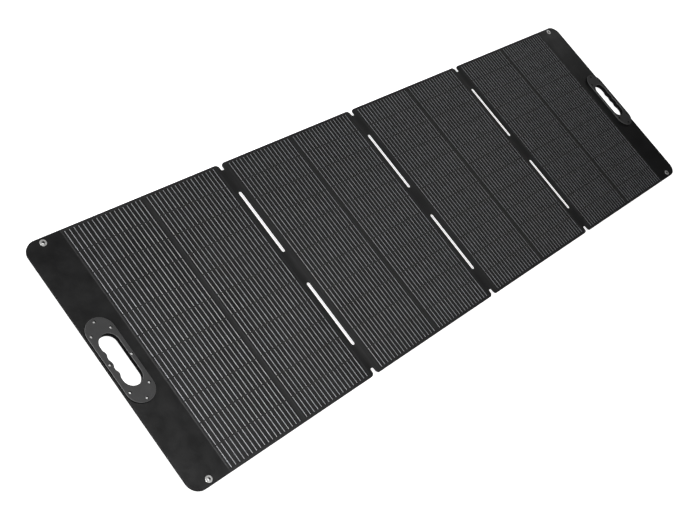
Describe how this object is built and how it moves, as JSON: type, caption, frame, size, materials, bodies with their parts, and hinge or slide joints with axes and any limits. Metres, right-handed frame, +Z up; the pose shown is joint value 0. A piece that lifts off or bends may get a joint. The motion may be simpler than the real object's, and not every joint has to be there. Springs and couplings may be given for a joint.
{
  "type": "folding solar panel",
  "caption": "Thin solar panel in linked rigid sections that fold up like an accordion between two end grip plates, with corner eyelets and a junction box on the back.",
  "frame": {"origin": "on the ground below the middle of the unfolded panels, at the middle fold line", "axes": "+X along the unfolded panels towards the one with the junction box, +Y across them, +Z up, the way the cells face"},
  "size_m": [1.7572, 0.541, 0.022],
  "materials": {
    "etfe_film": "dimpled, semi-matt",
    "solar_cell": "blue-black, matt",
    "tinned_copper": "tinned, satin",
    "encapsulant": "clear set resin over black",
    "stiffener": "glass-fibre board",
    "back_fabric": "woven, coated",
    "fold_web": "smooth coated fabric",
    "grip_plastic": "moulded, fine texture",
    "screw_steel": "bright zinc",
    "insert_brass": "turned",
    "eyelet_metal": "nickel plated",
    "box_plastic": "moulded, fine texture",
    "seal_rubber": "matt",
    "pad_foam": "adhesive foam",
    "terminal_brass": "plain",
    "diode_epoxy": "moulded",
    "gland_plastic": "moulded nylon"
  },
  "bodies": {
    "panel_1": {"panel_1_stiffener_board": "stiffener", "panel_1_back_fabric": "back_fabric", "panel_1_front_film": "etfe_film", "panel_1_encapsulant": "encapsulant", "panel_1_cells": "solar_cell", "panel_1_bus_ribbons": "tinned_copper", "fold_1_web_left": "fold_web", "panel_1_flap_board": "stiffener", "panel_1_eyelets": "eyelet_metal", "panel_1_eyelet_washers": "eyelet_metal", "handle_1_front_plate": "grip_plastic", "handle_1_rear_plate": "grip_plastic", "handle_1_screws": "screw_steel", "handle_1_inserts": "insert_brass"},
    "panel_2": {"panel_2_stiffener_board": "stiffener", "panel_2_back_fabric": "back_fabric", "panel_2_front_film": "etfe_film", "panel_2_encapsulant": "encapsulant", "panel_2_cells": "solar_cell", "panel_2_bus_ribbons": "tinned_copper", "fold_1_web_right": "fold_web", "fold_2_web_left": "fold_web"},
    "panel_3": {"panel_3_stiffener_board": "stiffener", "panel_3_back_fabric": "back_fabric", "panel_3_front_film": "etfe_film", "panel_3_encapsulant": "encapsulant", "panel_3_cells": "solar_cell", "panel_3_bus_ribbons": "tinned_copper", "fold_2_web_right": "fold_web", "fold_3_web_left": "fold_web"},
    "panel_4": {"panel_4_stiffener_board": "stiffener", "panel_4_back_fabric": "back_fabric", "panel_4_front_film": "etfe_film", "panel_4_encapsulant": "encapsulant", "panel_4_cells": "solar_cell", "panel_4_bus_ribbons": "tinned_copper", "fold_3_web_right": "fold_web", "panel_4_flap_board": "stiffener", "panel_4_eyelets": "eyelet_metal", "panel_4_eyelet_washers": "eyelet_metal", "handle_4_front_plate": "grip_plastic", "handle_4_rear_plate": "grip_plastic", "handle_4_screws": "screw_steel", "handle_4_inserts": "insert_brass", "junction_box_base": "box_plastic", "junction_box_lid": "box_plastic", "junction_box_seal": "seal_rubber", "junction_box_screws": "screw_steel", "junction_box_pad": "pad_foam", "feed_strips": "tinned_copper", "terminals": "terminal_brass", "bypass_diodes": "diode_epoxy", "gland_body": "gland_plastic", "gland_cap": "gland_plastic", "gland_insert": "seal_rubber", "gland_locknut": "gland_plastic"}
  },
  "joints": [
    {"name": "fold_1", "type": "hinge", "parent": "panel_1", "child": "panel_2", "pos_m": [-0.4058, 0, 0.018], "axis": [0, -1, 0], "range_deg": [0, 180]},
    {"name": "fold_2", "type": "hinge", "parent": "panel_2", "child": "panel_3", "pos_m": [0, 0, 0.0114], "axis": [0, 1, 0], "range_deg": [0, 180]},
    {"name": "fold_3", "type": "hinge", "parent": "panel_3", "child": "panel_4", "pos_m": [0.4058, 0, 0.018], "axis": [0, -1, 0], "range_deg": [0, 180]}
  ],
  "couplings": [
    {"joint": "fold_2", "follows": "fold_1", "ratio": 1},
    {"joint": "fold_3", "follows": "fold_1", "ratio": 1}
  ]
}
